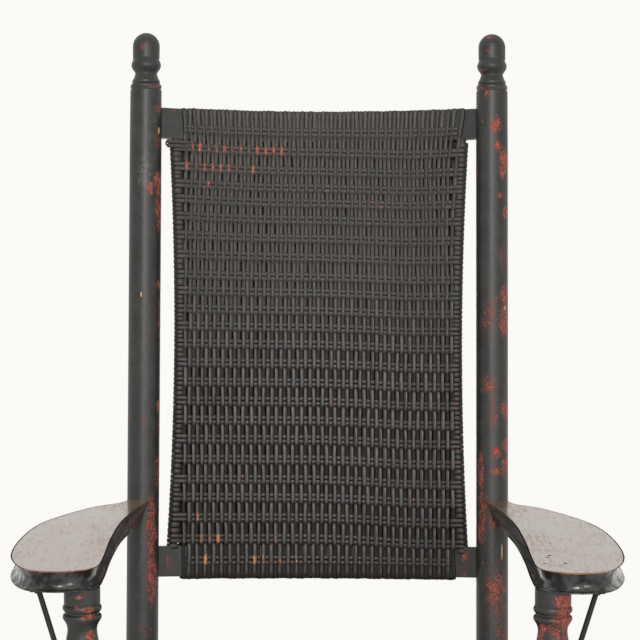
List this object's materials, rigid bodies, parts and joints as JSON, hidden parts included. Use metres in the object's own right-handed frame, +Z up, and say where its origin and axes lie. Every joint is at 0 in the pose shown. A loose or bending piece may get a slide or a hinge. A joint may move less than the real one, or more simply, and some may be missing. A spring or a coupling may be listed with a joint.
{
  "type": "rocking chair",
  "caption": "High-backed armed rocking chair with turned posts, broad flat arms, iron arm braces, and a bowed back and seat woven from split cane.",
  "frame": {"origin": "on the floor under the chair's middle, half way along the rockers, where their soles touch the floor", "axes": "+X to the right as one looks at the chair from the front, +Y towards the back, +Z up"},
  "size_m": [0.6754, 0.7606, 1.1913],
  "materials": {
    "black_paint": "semi-gloss black paint over red, worn",
    "side_rod_cane": "satin",
    "woven_cane": "satin black over reddish cane",
    "dark_iron": "dark, dull",
    "wood_peg": "satin"
  },
  "bodies": {
    "root": {"back_post_left": "black_paint", "back_post_right": "black_paint", "front_post_left": "black_paint", "front_post_right": "black_paint", "back_top_rail": "black_paint", "back_bottom_rail": "black_paint", "arm_left": "black_paint", "arm_right": "black_paint", "seat_front_rail": "black_paint", "seat_back_rail": "black_paint", "seat_side_rail_left": "black_paint", "seat_side_rail_right": "black_paint", "front_stretcher_upper": "black_paint", "front_stretcher_lower": "black_paint", "back_stretcher": "black_paint", "side_stretcher_upper_left": "black_paint", "side_stretcher_upper_right": "black_paint", "side_stretcher_lower_left": "black_paint", "side_stretcher_lower_right": "black_paint", "rocker_left": "black_paint", "rocker_right": "black_paint", "back_side_rod_left": "side_rod_cane", "back_side_rod_right": "side_rod_cane", "back_weave": "woven_cane", "seat_weave": "woven_cane", "arm_brace_left": "dark_iron", "arm_brace_right": "dark_iron", "arm_screws": "dark_iron", "brace_screws": "dark_iron", "rocker_pins": "wood_peg", "back_rail_pins": "wood_peg"}
  },
  "joints": []
}
